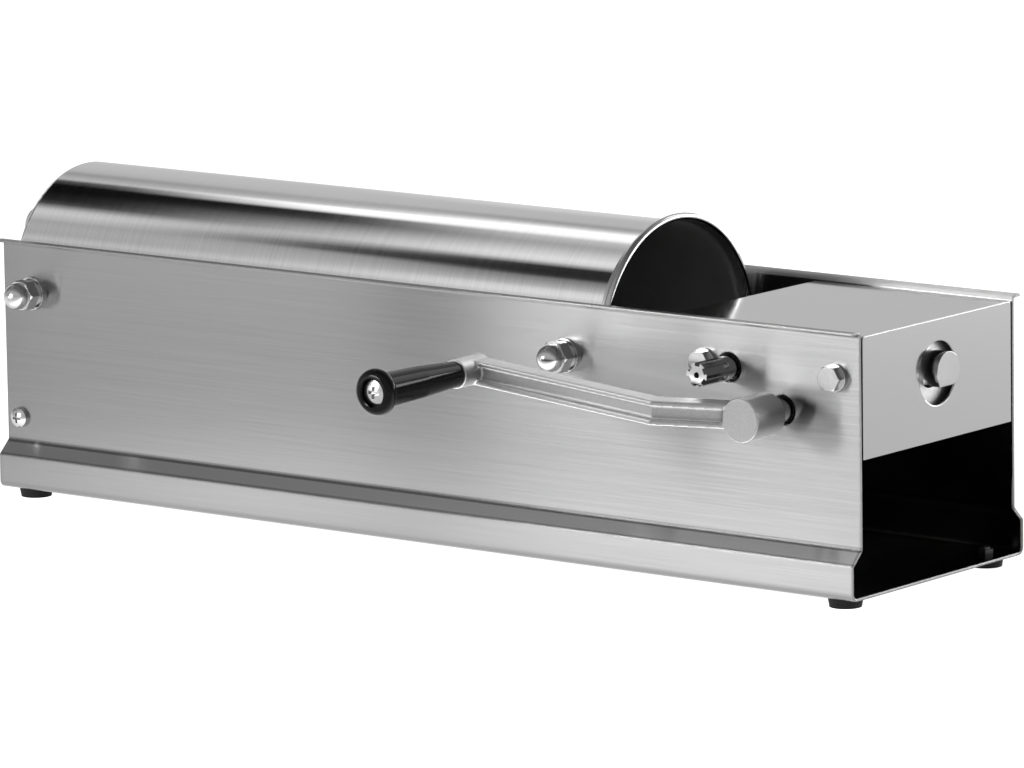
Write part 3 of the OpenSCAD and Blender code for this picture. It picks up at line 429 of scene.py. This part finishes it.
world = bpy.data.worlds.new("studio")
world.use_nodes = True
bpy.context.scene.world = world
g = Graph(world.node_tree)
along, inward, upward = g.split(g.add("ShaderNodeTexCoord").outputs["Generated"])
angle = g.math("ARCTAN2", upward, g.math("MULTIPLY", inward, -1.0))
angle = g.spread(angle, 0, 1, (0, math.pi))


def linear(tone):
    """A tone of 0...255 as light."""
    tone /= 255
    return tone / 12.92 if tone <= 0.04045 else ((tone + 0.055) / 1.055) ** 2.4


def soft_boxes(stops):
    """Brightness round the X axis: degrees up from the front, and the tone seen in the steel."""
    ramp = g.add("ShaderNodeValToRGB")
    elements = ramp.color_ramp.elements
    while len(elements) < len(stops):
        elements.new(0.5)
    for element, (degrees, tone) in zip(elements, stops):
        element.position = degrees / 180
        element.color = (*grey(linear(tone) / CYLINDER_TONE / WORLD_STRENGTH), 1)
    g.link(angle, ramp.inputs["Fac"])
    return ramp.outputs["Color"]


left = soft_boxes([(0, 95), (28, 95), (42, 183), (48, 162), (55, 166), (61, 160), (65, 179),
                   (71, 197), (75, 188), (80, 120), (83, 60), (88, 28), (98, 12), (110, 12),
                   (116, 70), (120, 175), (124, 165), (131, 144), (138, 170), (148, 175),
                   (164, 172), (180, 172)])
middle = soft_boxes([(0, 95), (28, 95), (43, 198), (50, 173), (56, 159), (60, 149), (64, 62),
                     (68, 74), (73, 154), (78, 188), (84, 172), (91, 131), (99, 62), (104, 30),
                     (108, 30), (112, 250), (118, 280), (122, 190), (126, 168), (131, 162),
                     (138, 176), (148, 176), (164, 172), (180, 172)])
right = soft_boxes([(0, 95), (28, 95), (42, 217), (46, 210), (50, 170), (55, 136), (58, 118),
                    (61, 48), (64, 38), (71, 38), (74, 150), (77, 211), (81, 222), (88, 198),
                    (95, 170), (99, 162), (104, 177), (108, 190), (112, 245), (120, 270),
                    (127, 184), (132, 150), (139, 174), (154, 172), (164, 184), (180, 184)])
sides = soft_boxes([(0, 185), (40, 200), (62, 150), (80, 110), (100, 100), (118, 150),
                    (135, 200), (180, 185)])

# Which of them stands in a direction goes by its X. The first three fill the narrow stretch
# that the cylinder reflects in the photograph, and sides fills all the rest.
studio = left
for from_share, to_share, stretch, boxes in (
        (0, 1, (-0.648, -0.627), middle), (0, 1, (-0.627, -0.609), right),
        (1, 0, (-0.76, -0.70), sides), (0, 1, (-0.56, -0.50), sides)):
    studio = g.mix(g.spread(along, from_share, to_share, stretch), studio, boxes)
background = world.node_tree.nodes["Background"]
g.link(studio, background.inputs["Color"])
background.inputs["Strength"].default_value = WORLD_STRENGTH


def area_light(name, at, to, size, power):
    """A lamp at a place, aimed at a point (metres and watts), that the camera doesn't see."""
    data = bpy.data.lights.new(name, "AREA")
    data.shape = "RECTANGLE"
    data.size, data.size_y = size
    data.energy = power
    lamp = bpy.data.objects.new(name, data)
    bpy.context.scene.collection.objects.link(lamp)
    lamp.location = at
    lamp.rotation_mode = "QUATERNION"
    lamp.rotation_quaternion = (Vector(to) - Vector(at)).to_track_quat("-Z", "Y")
    lamp.visible_camera = False
    return lamp


area_light("panel_light", (-0.606, -1.25, 0.42), (-0.606, 0, 0.42), (0.492, 0.28), 10.0)
area_light("panel_light_low", (-0.606, -1.25, 0.14), (-0.606, 0, 0.14), (0.492, 0.28), 1.5)
area_light("side_light", (-1.165, -1.25, 0.14), (-1.165, 0, 0.14), (0.41, 0.28), 1.1)
area_light("edge_light", (0.75, 2.2, 1.9), (0.3, 0, 0.12), (1.2, 1.2), 9)
area_light("back_light", (0.8, 1.4, 0.45), (0.4, 0, 0.1), (2.4, 0.6), 44)
area_light("top_light", (0.0, -0.2, 2.6), (0, 0, 0), (1.8, 1.8), 12).visible_glossy = False
